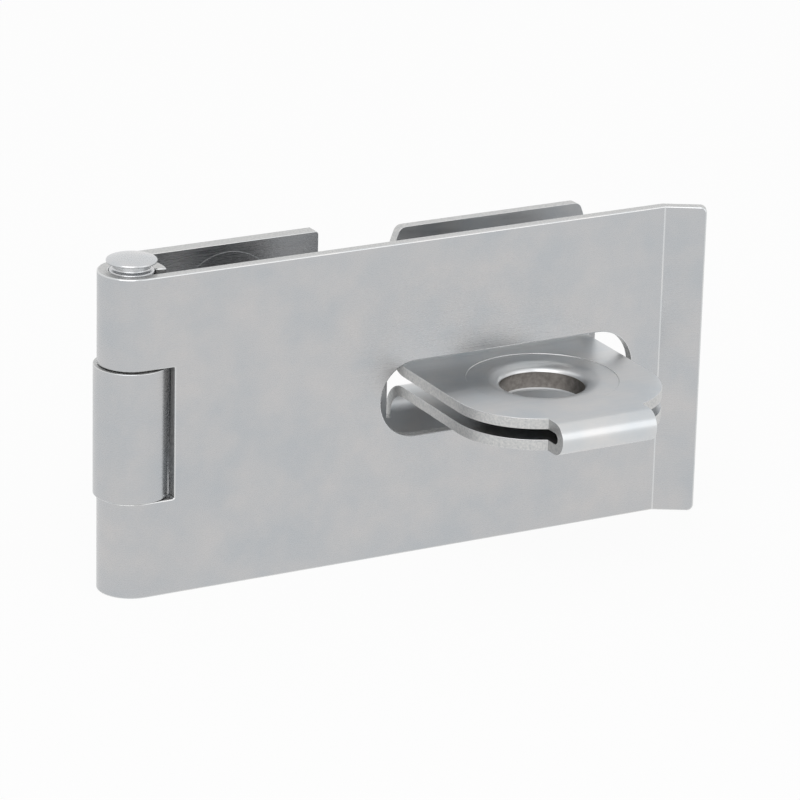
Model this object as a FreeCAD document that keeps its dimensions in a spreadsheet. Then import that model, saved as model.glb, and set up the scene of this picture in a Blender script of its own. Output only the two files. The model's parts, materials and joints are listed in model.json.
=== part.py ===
import FreeCAD, Part
import Sketcher
import math
import os
import re

# Hasp and staple in folded and rolled steel sheet, closed, as it stands on a door and its frame.
# Millimetres and degrees. +Z runs up along the hinge pin, +X from the pin towards the lip, and -Y
# out of the door. The plane Y = 0 is the surface that both screwed-on pieces lie against. The
# origin is the middle of the fixed leaf's two screw holes, on that surface.

SIZES = [
    ("leaf_height", "45", "height of the hasp leaf and the fixed leaf"),
    ("hasp_sheet", "1.5", "sheet thickness of the hasp leaf"),
    ("fixed_sheet", "2.05", "sheet thickness of the fixed leaf"),
    ("staple_sheet", "1.5", "sheet thickness of the staple"),
    ("pin_radius", "3.05", "radius of the hinge pin"),
    ("running_clearance", "0.05", "radial clearance of the pin in the hasp leaf's knuckles"),
    ("staked_clearance", "0.01", "radial clearance of the pin where the fixed knuckle grips it"),
    ("leaf_gap", "0.2", "gap between the hasp leaf's knuckles and the fixed leaf"),
    ("knuckle_height", "18.3", "height of the fixed leaf's knuckle"),
    ("knuckle_rise", "0.35", "height of that knuckle's middle above the leaf's middle"),
    ("end_clearance", "0.15", "gap between the knuckles, along the pin"),
    ("notch_clearance", "0.15", "gap between the fixed knuckle and the hasp leaf's notch"),
    ("hasp_roll_end", "20", "angle at which the hasp leaf's roll stops, past the pin's side"),
    ("crease_run", "79.2", "pin axis to the crease of the lip"),
    ("lip_length", "5.85", "length of the lip beyond the crease"),
    ("lip_angle", "28.6", "angle at which the lip stands out"),
    ("lip_corner", "0.9", "radius of the lip's corners"),
    ("slot_run", "55", "pin axis to the middle of the slot"),
    ("slot_length", "39.5", "length of the slot, end to end"),
    ("slot_height", "10.9", "height of the slot"),
    ("fixed_reach", "30.1", "pin axis to the free edge of the fixed leaf"),
    ("fixed_start", "1", "pin axis to the near edge of the fixed leaf"),
    ("fixed_corner", "0.5", "radius of the fixed leaf's corners"),
    ("crank_root", "8.2", "pin axis to the root of the cranked tongue"),
    ("crank_angle", "15", "slope of the cranked tongue"),
    ("crank_slit", "0.3", "slit between the tongue and the leaf above and below it"),
    ("fixed_roll_end", "35", "angle at which the fixed knuckle's roll stops"),
    ("screw_line", "16.5", "pin axis to the fixed leaf's screw holes"),
    ("screw_spacing", "27.6", "distance between screw holes, up the leaf and up the staple"),
    ("screw_radius", "2.7", "radius of a screw hole"),
    ("sink_radius", "4.7", "radius of a countersink at the surface"),
    ("sink_depth", "1.3", "depth of a countersink"),
    ("ring_radius", "7.5", "radius of the pressed ring round the fixed leaf's screw holes"),
    ("ring_depth", "0.15", "depth of the pressed ring"),
    ("pin_rise", "1.1", "gap between the top knuckle and the pin's head"),
    ("pin_foot", "0.4", "height of the pin's lower end above the leaf's lower edge"),
    ("neck_radius", "2.5", "radius of the pin between the top knuckle and its head"),
    ("neck_taper", "0.25", "height over which the pin narrows to its neck"),
    ("head_radius", "3.42", "radius of the pin's head"),
    ("head_rim", "0.35", "thickness of the head at its rim"),
    ("head_dome", "0.65", "height of the head's dome above its rim"),
    ("staple_run", "57.2", "pin axis to the middle of the staple"),
    ("flange_height", "42.4", "height over the staple's two flanges"),
    ("flange_width", "35", "width of the staple's flanges"),
    ("flange_top_width", "28.4", "width of a flange at its outer edge"),
    ("flange_shoulder", "12.2", "height above the middle at which a flange starts to narrow"),
    ("flange_corner", "1.2", "radius of a flange's outer corners"),
    ("flange_seam", "0.4", "seam between the two flanges beside the eye"),
    ("flange_screws", "17", "distance between screw holes across the staple"),
    ("flange_sink", "4.3", "radius of the staple's countersinks at the surface"),
    ("relief", "0.6", "relief cut beside the bend, and beyond it"),
    ("bend_radius", "3.5", "inner radius of the bend from flange to eye"),
    ("eye_width", "30.2", "width of the eye"),
    ("eye_gap", "1.5", "gap between the eye's two layers"),
    ("eye_reach", "35.6", "mounting surface to the front of the fold"),
    ("eye_corner", "11.5", "radius of the eye's front corners"),
    ("eye_square", "3.5", "length of the straight side in front of the hole's middle"),
    ("neck_width", "16.8", "width at which the corner arcs meet the fold"),
    ("fold_width", "14.6", "width of the fold"),
    ("neck_step", "0.5", "length over which the neck narrows to the fold"),
    ("hole_run", "17.1", "mounting surface to the middle of the shackle hole"),
    ("hole_radius", "5.85", "radius of the shackle hole"),
    ("dish_radius", "10.5", "radius of the coined ring round the hole"),
    ("dish_step", "0.08", "depth of the coined ring at its edge"),
    ("dish_set", "0.13", "depth of the coined ring where it turns down into the hole"),
    ("dish_run", "2.55", "width of the rounded mouth of the hole"),
    ("dish_drop", "1.22", "depth of the rounded mouth"),
    ("throat_round", "0.85", "radius with which the mouth meets the hole's wall"),
    ("layers_meet", "7.7", "radius inside which the two layers touch"),
]

# Sizes that follow from the ones above, as expressions.
BORE = "(pin_radius + running_clearance)"
KNUCKLE = "(pin_radius + running_clearance + hasp_sheet)"
FIXED_BORE = "(pin_radius + staked_clearance)"
FIXED_KNUCKLE = "(pin_radius + staked_clearance + fixed_sheet)"
FIXED_FRONT = "(pin_radius + running_clearance + hasp_sheet + leaf_gap)"
PIN_STAND = "(pin_radius + running_clearance + hasp_sheet + leaf_gap + fixed_sheet)"
HALF_LEAF = "(leaf_height / 2)"
NOTCH_LOW = "(knuckle_rise - knuckle_height / 2 - end_clearance)"
NOTCH_HIGH = "(knuckle_rise + knuckle_height / 2 + end_clearance)"
EYE_FACE = "(eye_gap / 2 + staple_sheet)"
BEND_START = "(eye_gap / 2 + staple_sheet + bend_radius)"
BEND_REACH = "(staple_sheet + bend_radius)"
FOLD_CENTRE = "(eye_reach - eye_gap / 2 - staple_sheet)"
THROUGH = "(4 * fixed_sheet + 4 * hasp_sheet + 4 * staple_sheet + eye_gap)"

ALIASES = {alias for alias, number, meaning in SIZES}


def bound(text):
    """The expression with each size's name led by the sheet that holds it."""
    return re.sub(r"[a-z_]+", lambda word: name_in_sheet(word.group()), text)


def name_in_sheet(word):
    return "Sizes." + word if word in ALIASES else word


def make_sheet(doc):
    sheet = doc.addObject("Spreadsheet::Sheet", "Sizes")
    for row, (alias, number, meaning) in enumerate(SIZES, start=1):
        sheet.set(f"A{row}", alias)
        sheet.set(f"B{row}", number)
        sheet.set(f"C{row}", meaning)
        sheet.setAlias(f"B{row}", alias)
    doc.recompute()


def number(owner, text):
    return float(owner.evalExpression(bound(text)))


def new_body(doc, label, x, y):
    """A body whose own origin stands at (x, y) in the part's frame."""
    body = doc.addObject("PartDesign::Body", label)
    body.Label = label
    body.setExpression("Placement.Base.x", bound(x))
    body.setExpression("Placement.Base.y", bound(y))
    return body


def plane(body, role):
    return next(item for item in body.Origin.OriginFeatures if item.Role == role)


def new_sketch(body, name, role, offset=("0", "0", "0")):
    sketch = body.newObject("Sketcher::SketchObject", name)
    sketch.AttachmentSupport = (plane(body, role), [""])
    sketch.MapMode = "FlatFace"
    for axis, text in zip("xyz", offset):
        sketch.setExpression(f"AttachmentOffset.Base.{axis}", bound(text))
    return sketch


def arc_between(centre, start, end, turn):
    """An arc from start to end; the sketcher's arcs all run anticlockwise."""
    low, high = (start, end) if turn == "left" else (end, start)
    first = math.atan2(low.y - centre.y, low.x - centre.x)
    last = math.atan2(high.y - centre.y, high.x - centre.x)
    if last <= first:
        last += 2 * math.pi
    circle = Part.Circle(centre, FreeCAD.Vector(0, 0, 1), (end - centre).Length)
    return Part.ArcOfCircle(circle, first, last)


def pin_down(sketch, kind, index, corner, text):
    """Holds one coordinate of a point of the sketch at an expression."""
    value = number(sketch, text)
    constraint = sketch.addConstraint(Sketcher.Constraint(kind, -1, 1, index, corner, value))
    sketch.setExpression(f"Constraints[{constraint}]", bound(text))


def draw_outline(sketch, path):
    """A closed outline. A step (x, y) is a line to there, and (x, y, cx, cy, turn) is an arc."""
    where = [FreeCAD.Vector(number(sketch, step[0]), number(sketch, step[1]), 0) for step in path]
    first_index = sketch.GeometryCount
    corners = []
    for count, step in enumerate(path):
        start, end = where[count - 1], where[count]
        if len(step) == 2:
            sketch.addGeometry(Part.LineSegment(start, end), False)
            corners.append((1, 2))
        else:
            centre = FreeCAD.Vector(number(sketch, step[2]), number(sketch, step[3]), 0)
            sketch.addGeometry(arc_between(centre, start, end, step[4]), False)
            corners.append((1, 2) if step[4] == "left" else (2, 1))
    for count, step in enumerate(path):
        index = first_index + count
        before = first_index + (count - 1) % len(path)
        start_corner, end_corner = corners[count]
        joint = Sketcher.Constraint("Coincident", before, corners[count - 1][1], index, start_corner)
        sketch.addConstraint(joint)
        pin_down(sketch, "DistanceX", index, end_corner, step[0])
        pin_down(sketch, "DistanceY", index, end_corner, step[1])
    for count, step in enumerate(path):
        if len(step) == 5:
            chord = where[count] - where[count - 1]
            wide = abs(chord.x) > abs(chord.y)
            kind, text = ("DistanceY", step[3]) if wide else ("DistanceX", step[2])
            pin_down(sketch, kind, first_index + count, 3, text)


def draw_circle(sketch, x, y, radius):
    centre = FreeCAD.Vector(number(sketch, x), number(sketch, y), 0)
    size = number(sketch, radius)
    index = sketch.addGeometry(Part.Circle(centre, FreeCAD.Vector(0, 0, 1), size), False)
    pin_down(sketch, "DistanceX", index, 3, x)
    pin_down(sketch, "DistanceY", index, 3, y)
    constraint = sketch.addConstraint(Sketcher.Constraint("Radius", index, size))
    sketch.setExpression(f"Constraints[{constraint}]", bound(radius))


def extrude(body, kind, name, sketch, length, both_ways=False, reverse=False):
    """A Pad or a Pocket of the sketch."""
    feature = body.newObject("PartDesign::" + kind, name)
    feature.Profile = sketch
    feature.setExpression("Length", bound(length))
    feature.SideType = "Symmetric" if both_ways else "One side"
    feature.Reversed = reverse
    return feature


def revolve(body, kind, name, sketch):
    """A Revolution or a Groove of the sketch, all the way round its own vertical axis."""
    feature = body.newObject("PartDesign::" + kind, name)
    feature.Profile = sketch
    feature.ReferenceAxis = (sketch, ["V_Axis"])
    feature.Angle = 360
    return feature


def round_corners(body, name, base, points, radius):
    """Fillets the edge of the base whose middle is nearest to each point, given as expressions."""
    body.Document.recompute()
    names = []
    for point in points:
        target = FreeCAD.Vector(*[number(body, text) for text in point])
        target = body.Placement.multVec(target)
        gaps = [edge_gap(body, edge, target) for edge in base.Shape.Edges]
        names.append(f"Edge{gaps.index(min(gaps)) + 1}")
    feature = body.newObject("PartDesign::Fillet", name)
    feature.Base = (base, names)
    feature.setExpression("Radius", bound(radius))
    return feature


def edge_gap(body, edge, target):
    middle = edge.valueAt((edge.FirstParameter + edge.LastParameter) / 2)
    return (body.Placement.multVec(middle) - target).Length


def on_circle(radius, angle):
    """The point of a circle round the pin's axis at an angle from +X, as two expressions."""
    return f"{radius} * cos({angle})", f"{radius} * sin({angle})"


def make_hasp_leaf(doc):
    """The swinging leaf: a plate with a slot and a lip, rolled into two knuckles round the pin."""
    body = new_body(doc, "hasp_leaf", "-screw_line", "-" + PIN_STAND)
    lip_x = "(crease_run + lip_length * cos(lip_angle))"
    lip_y = f"(-{KNUCKLE} - lip_length * sin(lip_angle))"
    lip_back_x = f"({lip_x} + hasp_sheet * sin(lip_angle))"
    lip_back_y = f"({lip_y} + hasp_sheet * cos(lip_angle))"
    section = new_sketch(body, "hasp_section", "XY_Plane")
    draw_outline(section, [
        ("0", "-" + KNUCKLE, "0", "0", "left"),
        ("crease_run", "-" + KNUCKLE),
        (lip_x, lip_y),
        (lip_back_x, lip_back_y),
        ("crease_run + hasp_sheet * tan(lip_angle / 2)", "-" + BORE),
        ("0", "-" + BORE),
        (*on_circle(BORE, "-hasp_roll_end"), "0", "0", "right"),
        on_circle(KNUCKLE, "-hasp_roll_end"),
    ])
    extrude(body, "Pad", "hasp_plate", section, "leaf_height", both_ways=True)

    notch_edge = f"sqrt(pow({FIXED_KNUCKLE} + notch_clearance; 2) - pow({BORE}; 2))"
    notch = new_sketch(body, "notch_outline", "XZ_Plane")
    draw_outline(notch, [
        ("-2 * " + KNUCKLE, NOTCH_LOW),
        (notch_edge, NOTCH_LOW),
        (notch_edge, NOTCH_HIGH),
        ("-2 * " + KNUCKLE, NOTCH_HIGH),
    ])
    extrude(body, "Pocket", "notch", notch, THROUGH, both_ways=True)
    roll_room = new_sketch(body, "roll_room_outline", "XY_Plane", ("0", "0", "knuckle_rise"))
    draw_outline(roll_room, [
        ("0", "-" + BORE),
        ("2 * " + KNUCKLE, "-" + BORE),
        ("2 * " + KNUCKLE, "2 * " + KNUCKLE),
        ("0", "2 * " + KNUCKLE),
    ])
    room_height = "knuckle_height + 2 * end_clearance"
    extrude(body, "Pocket", "roll_room", roll_room, room_height, both_ways=True)

    slot = new_sketch(body, "slot_outline", "XZ_Plane")
    low_end = "(slot_run - slot_length / 2 + slot_height / 2)"
    high_end = "(slot_run + slot_length / 2 - slot_height / 2)"
    draw_outline(slot, [
        (low_end, "-slot_height / 2", low_end, "0", "left"),
        (high_end, "-slot_height / 2"),
        (high_end, "slot_height / 2", high_end, "0", "left"),
        (low_end, "slot_height / 2"),
    ])
    slot_cut = extrude(body, "Pocket", "slot", slot, THROUGH, both_ways=True)

    tip = (f"({lip_x} + {lip_back_x}) / 2", f"({lip_y} + {lip_back_y}) / 2")
    corners = [(*tip, HALF_LEAF), (*tip, "-" + HALF_LEAF)]
    round_corners(body, "lip_corners", slot_cut, corners, "lip_corner")
    return body


def make_fixed_leaf(doc):
    """The screwed leaf: a plate behind the hasp leaf's knuckles, with a cranked, rolled tongue."""
    body = new_body(doc, "fixed_leaf", "-screw_line", "-" + PIN_STAND)
    outline = new_sketch(body, "leaf_outline", "XZ_Plane", ("0", "0", "-" + PIN_STAND))
    draw_outline(outline, [
        ("fixed_start", "-" + HALF_LEAF),
        ("fixed_reach", "-" + HALF_LEAF),
        ("fixed_reach", HALF_LEAF),
        ("fixed_start", HALF_LEAF),
    ])
    plate = extrude(body, "Pad", "leaf_plate", outline, "fixed_sheet")
    middle = f"({FIXED_FRONT} + {PIN_STAND}) / 2"
    corners = [("fixed_reach", middle, HALF_LEAF), ("fixed_reach", middle, "-" + HALF_LEAF)]
    round_corners(body, "leaf_corners", plate, corners, "fixed_corner")

    window = new_sketch(body, "tongue_window", "XZ_Plane", ("0", "0", "-" + PIN_STAND))
    low = "(knuckle_rise - knuckle_height / 2 - crank_slit)"
    high = "(knuckle_rise + knuckle_height / 2 + crank_slit)"
    draw_outline(window, [
        ("fixed_start / 2", low),
        ("crank_root", low),
        ("crank_root", high),
        ("fixed_start / 2", high),
    ])
    extrude(body, "Pocket", "tongue_room", window, THROUGH, both_ways=True)

    # The tongue's two faces slope past the pin and touch the roll's outer and inner circles.
    tongue = new_sketch(body, "tongue_section", "XY_Plane", ("0", "0", "knuckle_rise"))
    touch = "(90 + crank_angle)"
    back_x, back_y = on_circle(FIXED_KNUCKLE, touch)
    front_x, front_y = on_circle(FIXED_BORE, touch)
    back_bend = f"{back_x} + ({PIN_STAND} - {back_y}) / tan(crank_angle)"
    front_bend = f"{front_x} + ({FIXED_FRONT} - {front_y}) / tan(crank_angle)"
    draw_outline(tongue, [
        (back_x, back_y),
        (*on_circle(FIXED_KNUCKLE, "fixed_roll_end"), "0", "0", "left"),
        on_circle(FIXED_BORE, "fixed_roll_end"),
        (front_x, front_y, "0", "0", "right"),
        (front_bend, FIXED_FRONT),
        ("crank_root", FIXED_FRONT),
        ("crank_root", PIN_STAND),
        (back_bend, PIN_STAND),
    ])
    extrude(body, "Pad", "tongue", tongue, "knuckle_height", both_ways=True)

    for name, height in (("upper", "screw_spacing / 2"), ("lower", "-screw_spacing / 2")):
        profile = new_sketch(body, f"{name}_hole_profile", "XY_Plane", ("screw_line", "0", height))
        draw_outline(profile, [
            ("0", FIXED_FRONT + " - sink_depth"),
            ("ring_radius", FIXED_FRONT + " - sink_depth"),
            ("ring_radius", FIXED_FRONT + " + ring_depth"),
            ("sink_radius", FIXED_FRONT + " + ring_depth"),
            ("screw_radius", FIXED_FRONT + " + ring_depth + sink_depth"),
            ("screw_radius", PIN_STAND + " + sink_depth"),
            ("0", PIN_STAND + " + sink_depth"),
        ])
        revolve(body, "Groove", f"{name}_screw_hole", profile)
    return body


def make_hinge_pin(doc):
    """The pin: a round shank, and a thin domed head on a narrower neck above the top knuckle."""
    body = new_body(doc, "hinge_pin", "-screw_line", "-" + PIN_STAND)
    profile = new_sketch(body, "pin_profile", "XZ_Plane")
    under_head = f"({HALF_LEAF} + pin_rise)"
    rim_top = f"({under_head} + head_rim)"
    dome_radius = "((pow(head_radius; 2) + pow(head_dome; 2)) / (2 * head_dome))"
    draw_outline(profile, [
        ("0", f"-{HALF_LEAF} + pin_foot"),
        ("pin_radius - pin_foot", f"-{HALF_LEAF} + pin_foot"),
        ("pin_radius", f"-{HALF_LEAF} + 2 * pin_foot"),
        ("pin_radius", HALF_LEAF),
        ("neck_radius", f"{HALF_LEAF} + neck_taper"),
        ("neck_radius", under_head),
        ("head_radius", under_head),
        ("head_radius", rim_top),
        ("0", f"{rim_top} + head_dome", "0", f"{rim_top} + head_dome - {dome_radius}", "left"),
    ])
    revolve(body, "Revolution", "pin_turned", profile)
    return body


def make_staple(doc):
    """The staple: one folded sheet, flange to eye, round a fold in front, and back to a flange."""
    body = new_body(doc, "staple", "staple_run - screw_line", "0")
    window_half = "(eye_width / 2 + relief)"
    window_top = f"({BEND_START} + relief)"
    for name, way in (("upper", ""), ("lower", "-")):
        outline = new_sketch(body, f"{name}_flange_outline", "XZ_Plane")
        draw_outline(outline, [
            ("-flange_width / 2", f"{way}flange_seam / 2"),
            ("-" + window_half, f"{way}flange_seam / 2"),
            ("-" + window_half, way + window_top),
            (window_half, way + window_top),
            (window_half, f"{way}flange_seam / 2"),
            ("flange_width / 2", f"{way}flange_seam / 2"),
            ("flange_width / 2", f"{way}flange_shoulder"),
            ("flange_top_width / 2", f"{way}flange_height / 2"),
            ("-flange_top_width / 2", f"{way}flange_height / 2"),
            ("-flange_width / 2", f"{way}flange_shoulder"),
        ])
        extrude(body, "Pad", f"{name}_flange", outline, "staple_sheet")
    strip = make_eye_strip(body)
    tops = [(f"{side}flange_top_width / 2", "-staple_sheet / 2", f"{way}flange_height / 2")
            for side in ("", "-") for way in ("", "-")]
    round_corners(body, "flange_corners", strip, tops, "flange_corner")
    cut_eye_corners(body)
    press_hole(body)
    for side in ("", "-"):
        for way in ("", "-"):
            drill_flange(body, side, way)
    return body


def make_eye_strip(body):
    """The folded strip, seen from the side: two bends, two layers and the fold that joins them."""
    section = new_sketch(body, "eye_section", "YZ_Plane")
    overlap = f"({BEND_START} + 3 * relief)"
    inner = "(eye_gap / 2)"
    draw_outline(section, [
        ("0", overlap),
        ("0", BEND_START),
        ("-" + BEND_REACH, inner, "-" + BEND_REACH, BEND_START, "right"),
        ("-" + FOLD_CENTRE, inner),
        ("-" + FOLD_CENTRE, "-" + inner, "-" + FOLD_CENTRE, "0", "left"),
        ("-" + BEND_REACH, "-" + inner),
        ("0", "-" + BEND_START, "-" + BEND_REACH, "-" + BEND_START, "right"),
        ("0", "-" + overlap),
        ("-staple_sheet", "-" + overlap),
        ("-staple_sheet", "-" + BEND_START),
        ("-" + BEND_REACH, "-" + EYE_FACE, "-" + BEND_REACH, "-" + BEND_START, "left"),
        ("-" + FOLD_CENTRE, "-" + EYE_FACE),
        ("-" + FOLD_CENTRE, EYE_FACE, "-" + FOLD_CENTRE, "0", "right"),
        ("-" + BEND_REACH, EYE_FACE),
        ("-staple_sheet", BEND_START, "-" + BEND_REACH, BEND_START, "left"),
        ("-staple_sheet", overlap),
    ])
    return extrude(body, "Pad", "eye_strip", section, "eye_width", both_ways=True)


def cut_eye_corners(body):
    """Rounds the eye's front corners back to the narrow fold, through both layers."""
    arc_x = "(eye_width / 2 - eye_corner)"
    arc_y = "(-hole_run - eye_square)"
    neck_y = f"({arc_y} - sqrt(pow(eye_corner; 2) - pow(neck_width / 2 - {arc_x}; 2)))"
    for name, side, turn in (("right", "", "left"), ("left", "-", "right")):
        outline = new_sketch(body, f"{name}_corner_outline", "XY_Plane")
        draw_outline(outline, [
            (f"{side}eye_width / 2", arc_y, side + arc_x, arc_y, turn),
            (f"{side}eye_width", arc_y),
            (f"{side}eye_width", "-eye_reach - staple_sheet"),
            (f"{side}fold_width / 2", "-eye_reach - staple_sheet"),
            (f"{side}fold_width / 2", f"{neck_y} - neck_step"),
            (f"{side}neck_width / 2", neck_y),
        ])
        extrude(body, "Pocket", f"{name}_corner", outline, THROUGH, both_ways=True)


def press_hole(body):
    """The shackle hole: both layers pressed together in a ring with a rounded mouth."""
    opening = new_sketch(body, "dish_outline", "XY_Plane")
    draw_circle(opening, "0", "-hole_run", "dish_radius")
    extrude(body, "Pocket", "dish_room", opening, THROUGH, both_ways=True)

    profile = new_sketch(body, "dish_profile", "XZ_Plane", ("0", "0", "hole_run"))
    rim = f"({EYE_FACE} - dish_step)"
    top = f"({EYE_FACE} - dish_set)"
    throat = f"({top} - dish_drop)"
    mouth = "(hole_radius + dish_run)"
    lip_x = "(hole_radius + throat_round)"
    run = "(dish_run - throat_round)"
    squares = f"(pow({run}; 2) + pow(dish_drop; 2) - pow(throat_round; 2))"
    large = f"({squares} / (2 * (dish_drop - throat_round)))"
    share = f"({large} / ({large} - throat_round))"
    meet_x = f"({mouth} - {run} * {share})"
    meet_y = f"({top} - {large} + ({large} - dish_drop) * {share})"
    draw_outline(profile, [
        ("dish_radius", rim),
        (mouth, top),
        (meet_x, meet_y, mouth, f"{top} - {large}", "left"),
        ("hole_radius", throat, lip_x, throat, "left"),
        ("hole_radius", "-" + throat),
        (meet_x, "-" + meet_y, lip_x, "-" + throat, "left"),
        (mouth, "-" + top, mouth, f"{large} - {top}", "left"),
        ("dish_radius", "-" + rim),
        ("dish_radius", "-eye_gap / 2"),
        ("layers_meet", "0"),
        ("dish_radius", "eye_gap / 2"),
    ])
    revolve(body, "Revolution", "pressed_ring", profile)


def drill_flange(body, side, way):
    """One countersunk screw hole, sunk from the front of a flange."""
    name = ("right" if side == "" else "left") + ("_upper" if way == "" else "_lower")
    offset = (f"{side}flange_screws / 2", "0", f"{way}screw_spacing / 2")
    profile = new_sketch(body, f"{name}_hole_profile", "XY_Plane", offset)
    draw_outline(profile, [
        ("0", "-staple_sheet - sink_depth"),
        ("flange_sink", "-staple_sheet - sink_depth"),
        ("flange_sink", "-staple_sheet"),
        ("screw_radius", "-staple_sheet + sink_depth"),
        ("screw_radius", "sink_depth"),
        ("0", "sink_depth"),
    ])
    revolve(body, "Groove", f"{name}_screw_hole", profile)


def check(doc):
    """Stops the build if any feature failed or any piece isn't one whole, sound solid."""
    for item in doc.Objects:
        failed = {"Invalid", "Error"} & set(item.State)
        if failed:
            raise RuntimeError(f"{item.Name}: {item.State}")
    for body in doc.findObjects("PartDesign::Body"):
        shape = body.Shape
        if shape.isNull() or not shape.isValid() or len(shape.Solids) != 1:
            raise RuntimeError(f"{body.Label} isn't one sound solid")


def main():
    doc = FreeCAD.newDocument("hasp_and_staple")
    make_sheet(doc)
    makers = (make_hasp_leaf, make_fixed_leaf, make_hinge_pin, make_staple)
    bodies = [make(doc) for make in makers]
    doc.recompute()
    check(doc)
    os.makedirs("parts", exist_ok=True)
    for body in bodies:
        body.Shape.exportStep(f"parts/{body.Label}.step")
        box = body.Shape.BoundBox
        corners = [box.XMin, box.YMin, box.ZMin, box.XMax, box.YMax, box.ZMax]
        print(body.Label, [round(value, 2) for value in corners], round(body.Shape.Volume, 1))


main()
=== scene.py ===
import json
import math

import bmesh
import bpy
from mathutils import Matrix, Vector
from mathutils.bvhtree import BVHTree


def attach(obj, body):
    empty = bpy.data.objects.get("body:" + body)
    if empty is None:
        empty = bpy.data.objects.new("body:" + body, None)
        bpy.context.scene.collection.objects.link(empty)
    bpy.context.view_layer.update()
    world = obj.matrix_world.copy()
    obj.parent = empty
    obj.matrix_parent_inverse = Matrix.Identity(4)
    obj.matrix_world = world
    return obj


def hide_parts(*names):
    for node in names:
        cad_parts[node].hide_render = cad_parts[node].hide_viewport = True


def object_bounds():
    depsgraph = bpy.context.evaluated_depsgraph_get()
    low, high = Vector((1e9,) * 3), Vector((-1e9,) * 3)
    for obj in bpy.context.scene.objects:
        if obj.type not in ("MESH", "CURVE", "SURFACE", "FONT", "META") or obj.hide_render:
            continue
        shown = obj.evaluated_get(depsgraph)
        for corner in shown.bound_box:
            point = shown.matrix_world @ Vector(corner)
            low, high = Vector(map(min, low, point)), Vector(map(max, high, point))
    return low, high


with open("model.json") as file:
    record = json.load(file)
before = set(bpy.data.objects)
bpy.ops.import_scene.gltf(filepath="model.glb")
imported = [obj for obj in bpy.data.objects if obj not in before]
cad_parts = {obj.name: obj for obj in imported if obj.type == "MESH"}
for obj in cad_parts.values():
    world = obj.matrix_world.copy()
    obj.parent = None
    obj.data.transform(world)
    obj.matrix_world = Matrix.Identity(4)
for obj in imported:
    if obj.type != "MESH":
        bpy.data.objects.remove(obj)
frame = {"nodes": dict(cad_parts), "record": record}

MM = 0.001
cad_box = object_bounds()

# The thickness of each sheet, how far the edges are rounded over, and the radii of the coined ring
# and of the shackle hole's wall, in millimetres.
HASP_SHEET = 1.5
FIXED_SHEET = 2.05
STAPLE_SHEET = 1.5
EDGE_ROUND = 0.16
PIN_ROUND = 0.14
RING_RADIUS = 10.6
HOLE_RADIUS = 5.85
WALL_SLACK = 0.03

# A cut edge has more than this many sheets of metal behind it, measured from just under the skin.
EDGE_DEPTH = 1.25
UNDER_SKIN = 0.01

# A bend of more degrees than this counts as an edge and is rounded over. The hasp leaf's takes in
# the bend of its lip.
LIP_CREASE = 25
CUT_EDGE = 35

# How near two corners lie before they are joined, in the plain surface and in the rounded one, and
# how many degrees apart two faces may be and still count as one flat.
JOIN_REACH = 0.001
WELD_REACH = 0.0005
FLAT_WITHIN = 0.1

# The camera: a long lens, turned to the right, tipped down and rolled a little.
CAMERA_YAW = 28.54
CAMERA_PITCH = 19.69
CAMERA_ROLL = 1.43
CAMERA_LENS = 207.3
CAMERA_AWAY = 630.34
CAMERA_AIM = (28.5, -11.45, 0.0)
CAMERA_SLIDE = (-6.015, -0.880)

# The floor shows mostly as plain white, and the rest of it takes the shadow. The white room is
# dimmer where it only lights the object.
FLOOR_REACH = 4.0
FLOOR_WHITE = 0.92
ROOM_LIGHT = 0.65

# Each soft light: its name, its place and width in metres, and its power in watts.
SOFTBOXES = (("softbox_left", (-0.45, -0.55, 0.60), 0.9, 3.2),
             ("softbox_right", (0.43, -0.755, 0.31), 0.6, 0.7))


def colour(code):
    """Turns an sRGB hex value into the linear colour that a shader takes."""
    parts = [int(code[start:start + 2], 16) / 255 for start in (0, 2, 4)]
    linear = [part / 12.92 if part <= 0.04045 else ((part + 0.055) / 1.055) ** 2.4 for part in parts]
    return (*linear, 1.0)


def add_node(tree, kind, settings=None, values=None, links=None):
    """Adds one node with its settings, its constant inputs and its incoming links."""
    node = tree.nodes.new(kind)
    for name, value in (settings or {}).items():
        setattr(node, name, value)
    for socket, value in (values or {}).items():
        node.inputs[socket].default_value = value
    for socket, source in (links or {}).items():
        tree.links.new(source, node.inputs[socket])
    return node


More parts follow.
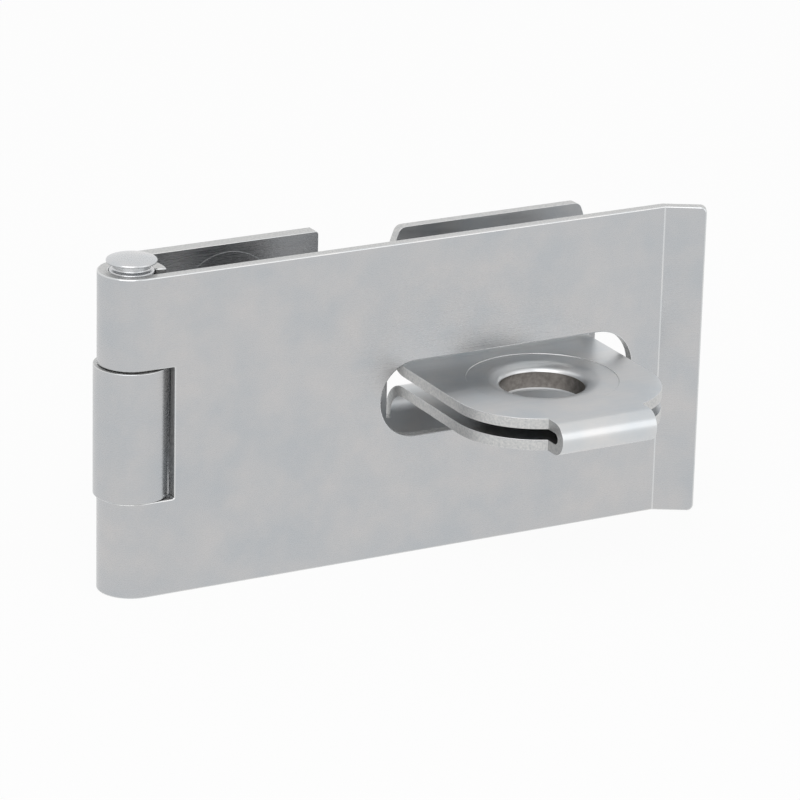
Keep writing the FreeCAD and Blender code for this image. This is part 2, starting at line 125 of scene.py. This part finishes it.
def plated_steel(name, tones, patch, grain, roughness, relief):
    """Steel under a thin coat of zinc: faint clouds of colour over the grain that its making left.

    tones are the darkest and lightest colour, patch is the width of a cloud, grain is the size of one
    mark along X, Y and Z, and relief is the depth of the marks, all in millimetres.
    """
    material = bpy.data.materials.new(name)
    material.use_nodes = True
    tree = material.node_tree
    tree.nodes.clear()
    place = add_node(tree, "ShaderNodeTexCoord").outputs["Object"]
    clouds = add_node(tree, "ShaderNodeTexNoise",
                      values={"Scale": 1 / (patch * MM), "Detail": 4.0, "Roughness": 0.6},
                      links={"Vector": place})
    shade = add_node(tree, "ShaderNodeValToRGB", links={"Fac": clouds.outputs["Fac"]})
    low, high = shade.color_ramp.elements
    low.position, low.color = 0.32, colour(tones[0])
    high.position, high.color = 0.68, colour(tones[1])
    stretch = add_node(tree, "ShaderNodeMapping",
                       values={"Scale": tuple(1 / (size * MM) for size in grain)},
                       links={"Vector": place})
    marks = add_node(tree, "ShaderNodeTexNoise", values={"Scale": 1.0, "Detail": 3.0},
                     links={"Vector": stretch.outputs["Vector"]})
    gloss = add_node(tree, "ShaderNodeMapRange",
                     values={"From Min": 0.3, "From Max": 0.7,
                             "To Min": roughness[0], "To Max": roughness[1]},
                     links={"Value": marks.outputs["Fac"]})
    bump = add_node(tree, "ShaderNodeBump", values={"Strength": 0.5, "Distance": relief * MM},
                    links={"Height": marks.outputs["Fac"]})
    shader = add_node(tree, "ShaderNodeBsdfPrincipled", values={"Metallic": 1.0},
                      links={"Base Color": shade.outputs["Color"],
                             "Roughness": gloss.outputs["Result"],
                             "Normal": bump.outputs["Normal"]})
    add_node(tree, "ShaderNodeOutputMaterial", links={"Surface": shader.outputs["BSDF"]})
    return material


# Cold-rolled steel sheet with a bright zinc coat: light silver grey, with fine rolling lines along
# its length and broad faint clouds of blue and pink.
rolled_zinc = plated_steel("zinc_plated_rolled_sheet", ("b7babd", "c2c1c1"), 8.0,
                           (7.0, 7.0, 0.16), (0.22, 0.32), 0.0025)

# The same sheet folded into the staple, where the lines run across the strip; drawn lighter: painted
# light.
folded_zinc_painted_lighter = plated_steel("zinc_plated_folded_strip_painted_lighter", ("c9cdd0", "d6d5d4"), 7.0,
                           (6.0, 0.4, 0.4), (0.29, 0.37), 0.001)

# Sheared edge under zinc: a torn, stippled band that scatters the light. The stipple is drawn at
# 0.2 mm, coarser than the real tear, so that it shows.
sheared_zinc = plated_steel("zinc_plated_sheared_edge", ("b4b6b7", "d2d1cf"), 0.3,
                            (0.22, 0.22, 0.22), (0.34, 0.50), 0.02)

# The wall of a punched hole, burnished by the punch; drawn dim and brownish: painted shade in the hole.
punched_wall_painted_shade = plated_steel("punched_wall_with_painted_shade", ("6e6a66", "8a8682"), 0.8,
                             (0.3, 0.3, 2.0), (0.30, 0.42), 0.006)

# The corner the press rolls over beside each cut, burnished smooth; drawn lighter: a painted highlight.
rolled_corner_painted_highlight = plated_steel("zinc_plated_rolled_corner_painted_highlight", ("cdd0d2", "d9d8d7"), 5.0,
                              (1.2, 1.2, 1.2), (0.20, 0.28), 0.002)

# Drawn wire under zinc, cold-headed at the top: fine draw lines along the pin.
drawn_zinc = plated_steel("zinc_plated_drawn_wire", ("c4c8cb", "d2d0d0"), 5.0,
                          (0.14, 0.14, 5.0), (0.22, 0.34), 0.003)

EDGE_FINISH, WALL_PAINTED_SHADE = 1, 2


def merged_mesh(node):
    """A clean copy of a CAD node's surface, with its loose triangles joined."""
    source = frame["nodes"][node].data
    plain = bpy.data.meshes.new(node + "_plain")
    plain.from_pydata([v.co[:] for v in source.vertices], [], [p.vertices[:] for p in source.polygons])
    surface = bmesh.new()
    surface.from_mesh(plain)
    bpy.data.meshes.remove(plain)
    bmesh.ops.remove_doubles(surface, verts=surface.verts, dist=JOIN_REACH * MM)
    surface.normal_update()
    return surface


def mark_cut_edges(surface, thickness, pressed_at):
    """Gives the sheared finish to each face that has more metal behind it than the sheet is thick."""
    tree = BVHTree.FromBMesh(surface)
    for face in surface.faces:
        middle = face.calc_center_median()
        if pressed_at is not None:
            away = (middle - pressed_at).xy.length
            if away < RING_RADIUS * MM:
                # Faces of the shackle hole's wall take the dark wall colour, which is painted shade
                # inside the hole.
                on_wall = away < (HOLE_RADIUS + WALL_SLACK) * MM
                face.material_index = WALL_PAINTED_SHADE if on_wall else 0
                continue
        start = middle - face.normal * UNDER_SKIN * MM
        behind = tree.ray_cast(start, -face.normal)[3]
        if behind is None or behind > EDGE_DEPTH * thickness * MM:
            face.material_index = EDGE_FINISH


def rounded_piece(node, name, body, finishes, rounding, edge_angle, thickness=None,
                  pressed_at=None):
    """Stands for a CAD node with its sharp edges rounded over, as a press or a header leaves them."""
    surface = merged_mesh(node)
    if thickness is not None:
        mark_cut_edges(surface, thickness, pressed_at)
    bmesh.ops.dissolve_limit(surface, angle_limit=math.radians(FLAT_WITHIN),
                             use_dissolve_boundaries=False, verts=surface.verts,
                             edges=surface.edges, delimit={"MATERIAL"})
    mesh = bpy.data.meshes.new(name)
    surface.to_mesh(mesh)
    surface.free()
    for finish in finishes:
        mesh.materials.append(finish)
    mesh.shade_smooth()
    mesh.set_sharp_from_angle(angle=math.radians(edge_angle))
    piece = bpy.data.objects.new(name, mesh)
    bpy.context.scene.collection.objects.link(piece)

    bevel = piece.modifiers.new("rounding", "BEVEL")
    bevel.width = rounding * MM
    bevel.segments = 3
    bevel.limit_method = "ANGLE"
    bevel.angle_limit = math.radians(edge_angle)
    bevel.miter_outer = "MITER_ARC"
    # Every rounded edge takes the last finish; on sheet and strip that is the lighter corner, a painted
    # highlight.
    bevel.material = len(finishes) - 1
    weld = piece.modifiers.new("closed_corners", "WELD")
    weld.merge_threshold = WELD_REACH * MM
    even = piece.modifiers.new("even_shading", "WEIGHTED_NORMAL")
    even.keep_sharp = True

    bpy.context.view_layer.update()
    graph = bpy.context.evaluated_depsgraph_get()
    finished = bpy.data.meshes.new_from_object(piece.evaluated_get(graph), depsgraph=graph)
    piece.modifiers.clear()
    piece.data = finished
    finished.name = name
    bpy.data.meshes.remove(mesh)

    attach(piece, body)
    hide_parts(node)
    return piece


def make_hardware():
    """The two leaves, the pin that joins them and the staple."""
    mounts = {mount["name"]: mount for mount in frame["record"]["mounts"]}
    hole = Vector(mounts["shackle_hole"]["pos_m"])
    eye_hole = Vector((hole.x, hole.y, 0.0))
    sheet = (rolled_zinc, sheared_zinc, rolled_corner_painted_highlight)
    strip = (folded_zinc_painted_lighter, sheared_zinc, punched_wall_painted_shade, rolled_corner_painted_highlight)
    rounded_piece("hasp_leaf", "hasp_leaf_pressed", "hasp_leaf", sheet,
                  EDGE_ROUND, LIP_CREASE, HASP_SHEET)
    rounded_piece("fixed_leaf", "fixed_leaf_pressed", "fixed_leaf", sheet,
                  EDGE_ROUND, CUT_EDGE, FIXED_SHEET)
    rounded_piece("staple", "staple_folded", "staple", strip,
                  EDGE_ROUND, CUT_EDGE, STAPLE_SHEET, eye_hole)
    rounded_piece("hinge_pin", "hinge_pin_headed", "fixed_leaf", (drawn_zinc,),
                  PIN_ROUND, CUT_EDGE)


def seen_or_mirrored(tree):
    """1 where a surface is seen, mirrored in metal or seen through glass, and 0 where it only lights."""
    rays = add_node(tree, "ShaderNodeLightPath")
    seen = add_node(tree, "ShaderNodeMath", {"operation": "ADD", "use_clamp": True},
                    links={0: rays.outputs["Is Camera Ray"], 1: rays.outputs["Is Glossy Ray"]})
    both = add_node(tree, "ShaderNodeMath", {"operation": "ADD", "use_clamp": True},
                    links={0: seen.outputs["Value"], 1: rays.outputs["Is Transmission Ray"]})
    return both.outputs["Value"]


def make_floor(level):
    """A plain pale floor that looks white and still takes the object's soft shadow."""
    material = bpy.data.materials.new("matt_white_paper")
    material.use_nodes = True
    tree = material.node_tree
    tree.nodes.clear()
    share = add_node(tree, "ShaderNodeMath", {"operation": "MULTIPLY"}, values={1: FLOOR_WHITE},
                     links={0: seen_or_mirrored(tree)})
    paper = add_node(tree, "ShaderNodeBsdfPrincipled",
                     values={"Base Color": colour("f2f2f1"), "Roughness": 0.9})
    white = add_node(tree, "ShaderNodeEmission", values={"Color": (1, 1, 1, 1), "Strength": 1.0})
    mix = add_node(tree, "ShaderNodeMixShader",
                   links={0: share.outputs["Value"], 1: paper.outputs["BSDF"],
                          2: white.outputs["Emission"]})
    add_node(tree, "ShaderNodeOutputMaterial", links={"Surface": mix.outputs["Shader"]})

    mesh = bpy.data.meshes.new("floor")
    reach = FLOOR_REACH
    corners = [(-reach, -reach, level), (reach, -reach, level),
               (reach, reach, level), (-reach, reach, level)]
    mesh.from_pydata(corners, [], [(0, 1, 2, 3)])
    mesh.materials.append(material)
    floor = bpy.data.objects.new("floor", mesh)
    bpy.context.scene.collection.objects.link(floor)


def make_world():
    """A plain white room, softer where it only lights the object than where it is seen or mirrored."""
    world = bpy.data.worlds.new("studio_room")
    bpy.context.scene.world = world
    world.use_nodes = True
    tree = world.node_tree
    tree.nodes.clear()
    strength = add_node(tree, "ShaderNodeMapRange", values={"To Min": ROOM_LIGHT, "To Max": 1.0},
                        links={"Value": seen_or_mirrored(tree)})
    white = add_node(tree, "ShaderNodeBackground", values={"Color": (1, 1, 1, 1)},
                     links={"Strength": strength.outputs["Result"]})
    add_node(tree, "ShaderNodeOutputWorld", links={"Surface": white.outputs["Background"]})


def add_softbox(name, place, size, power):
    """A square soft light that faces the middle of the object."""
    lamp = bpy.data.lights.new(name, "AREA")
    lamp.shape = "SQUARE"
    lamp.size = size
    lamp.energy = power
    light = bpy.data.objects.new(name, lamp)
    light.location = place
    aim = Vector(CAMERA_AIM) * MM - Vector(place)
    light.rotation_euler = aim.to_track_quat("-Z", "Y").to_euler()
    bpy.context.scene.collection.objects.link(light)


def add_camera():
    yaw, pitch, roll = (math.radians(angle) for angle in (CAMERA_YAW, CAMERA_PITCH, CAMERA_ROLL))
    ahead = Vector((math.sin(yaw) * math.cos(pitch), math.cos(yaw) * math.cos(pitch), -math.sin(pitch)))
    level = Vector((math.cos(yaw), -math.sin(yaw), 0))
    upright = level.cross(ahead)
    across = math.cos(roll) * level + math.sin(roll) * upright
    up = -math.sin(roll) * level + math.cos(roll) * upright
    slide_across, slide_up = CAMERA_SLIDE
    centre = Vector(CAMERA_AIM) + slide_across * across + slide_up * up - CAMERA_AWAY * ahead

    lens = bpy.data.cameras.new("camera")
    lens.lens = CAMERA_LENS
    lens.sensor_width = 36.0
    lens.clip_start = 0.01
    lens.clip_end = 50.0
    camera = bpy.data.objects.new("camera", lens)
    turn = Matrix((across, up, -ahead)).transposed().to_4x4()
    camera.matrix_world = Matrix.Translation(centre * MM) @ turn
    bpy.context.scene.collection.objects.link(camera)
    bpy.context.scene.camera = camera


make_hardware()
make_floor(min(corner[2] for corner in cad_box))
make_world()
for name, place, width, power in SOFTBOXES:
    add_softbox(name, place, width, power)
add_camera()
bpy.context.scene.view_settings.view_transform = "Standard"
